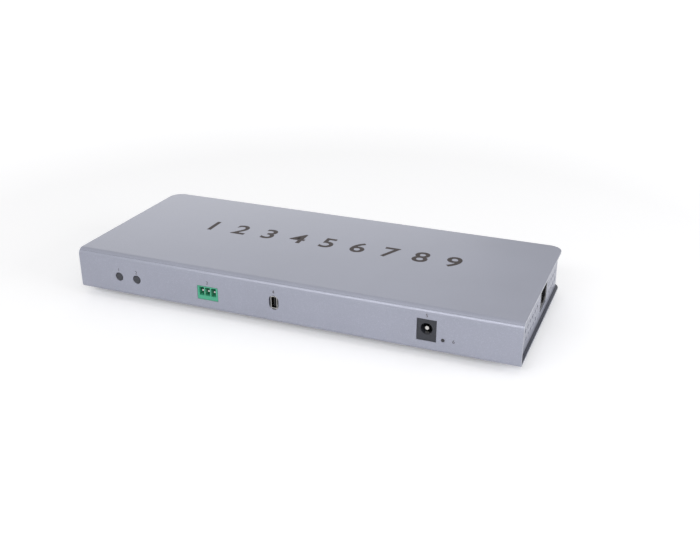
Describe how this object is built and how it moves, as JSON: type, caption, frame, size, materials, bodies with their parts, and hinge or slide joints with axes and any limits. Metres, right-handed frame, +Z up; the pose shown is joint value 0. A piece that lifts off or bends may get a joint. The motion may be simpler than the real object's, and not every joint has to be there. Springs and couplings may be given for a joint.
{
  "type": "video multiviewer",
  "caption": "Flat sheet-metal video multiviewer box with a rear row of video sockets, front push buttons, terminal header, service port and power inlet, on low rubber feet.",
  "frame": {"origin": "on the table, under the middle of the case", "axes": "+X along the case to the end with the network jack, +Y to the row of video sockets, -Y the control side, +Z up"},
  "size_m": [0.27, 0.11, 0.03],
  "materials": {
    "case_paint": "satin metallic silver paint",
    "board_green": "solder mask",
    "socket_steel": "bright plated sheet",
    "socket_black": "moulded",
    "light_lens": "unlit clear-dark lens",
    "button_plastic": "dark grey moulded",
    "switch_black": "moulded",
    "terminal_green": "green moulded",
    "pin_metal": "tinned",
    "inlet_plastic": "black moulded",
    "post_brass": "turned",
    "screw_steel": "zinc plated",
    "foot_rubber": "soft black",
    "chip_black": "moulded package",
    "pad_grey": "soft pad",
    "sink_aluminium": "extruded"
  },
  "bodies": {
    "case": {"main_shell": "case_paint", "rear_wrap": "case_paint", "circuit_board": "board_green", "input_1_shell": "socket_steel", "input_2_shell": "socket_steel", "input_3_shell": "socket_steel", "input_4_shell": "socket_steel", "input_5_shell": "socket_steel", "input_6_shell": "socket_steel", "input_7_shell": "socket_steel", "input_8_shell": "socket_steel", "input_9_shell": "socket_steel", "output_shell": "socket_steel", "service_port_shell": "socket_steel", "jack_shield": "socket_steel", "input_1_tongue": "socket_black", "input_2_tongue": "socket_black", "input_3_tongue": "socket_black", "input_4_tongue": "socket_black", "input_5_tongue": "socket_black", "input_6_tongue": "socket_black", "input_7_tongue": "socket_black", "input_8_tongue": "socket_black", "input_9_tongue": "socket_black", "output_tongue": "socket_black", "service_port_insert": "socket_black", "jack_insert": "socket_black", "port_lights": "light_lens", "power_light": "light_lens", "switch_left": "switch_black", "switch_right": "switch_black", "chokes": "switch_black", "terminal_housing": "terminal_green", "terminal_pins": "pin_metal", "inlet_pin": "pin_metal", "inlet_spring": "pin_metal", "inlet_body": "inlet_plastic", "board_posts": "post_brass", "board_screws": "screw_steel", "case_screws": "screw_steel", "foot_1": "foot_rubber", "foot_2": "foot_rubber", "foot_3": "foot_rubber", "foot_4": "foot_rubber", "main_chip": "chip_black", "receiver_chips": "chip_black", "memory_chips": "chip_black", "thermal_pad": "pad_grey", "heat_sink": "sink_aluminium", "capacitors": "sink_aluminium"},
    "left_button": {"button_left": "button_plastic"},
    "right_button": {"button_right": "button_plastic"}
  },
  "joints": [
    {"name": "left_button_press", "type": "slide", "parent": "case", "child": "left_button", "axis": [0, 1, 0], "range_m": [0, 0.0004], "stiffness_N_per_m": 400, "springref_m": -0.001},
    {"name": "right_button_press", "type": "slide", "parent": "case", "child": "right_button", "axis": [0, 1, 0], "range_m": [0, 0.0004], "stiffness_N_per_m": 400, "springref_m": -0.001}
  ]
}
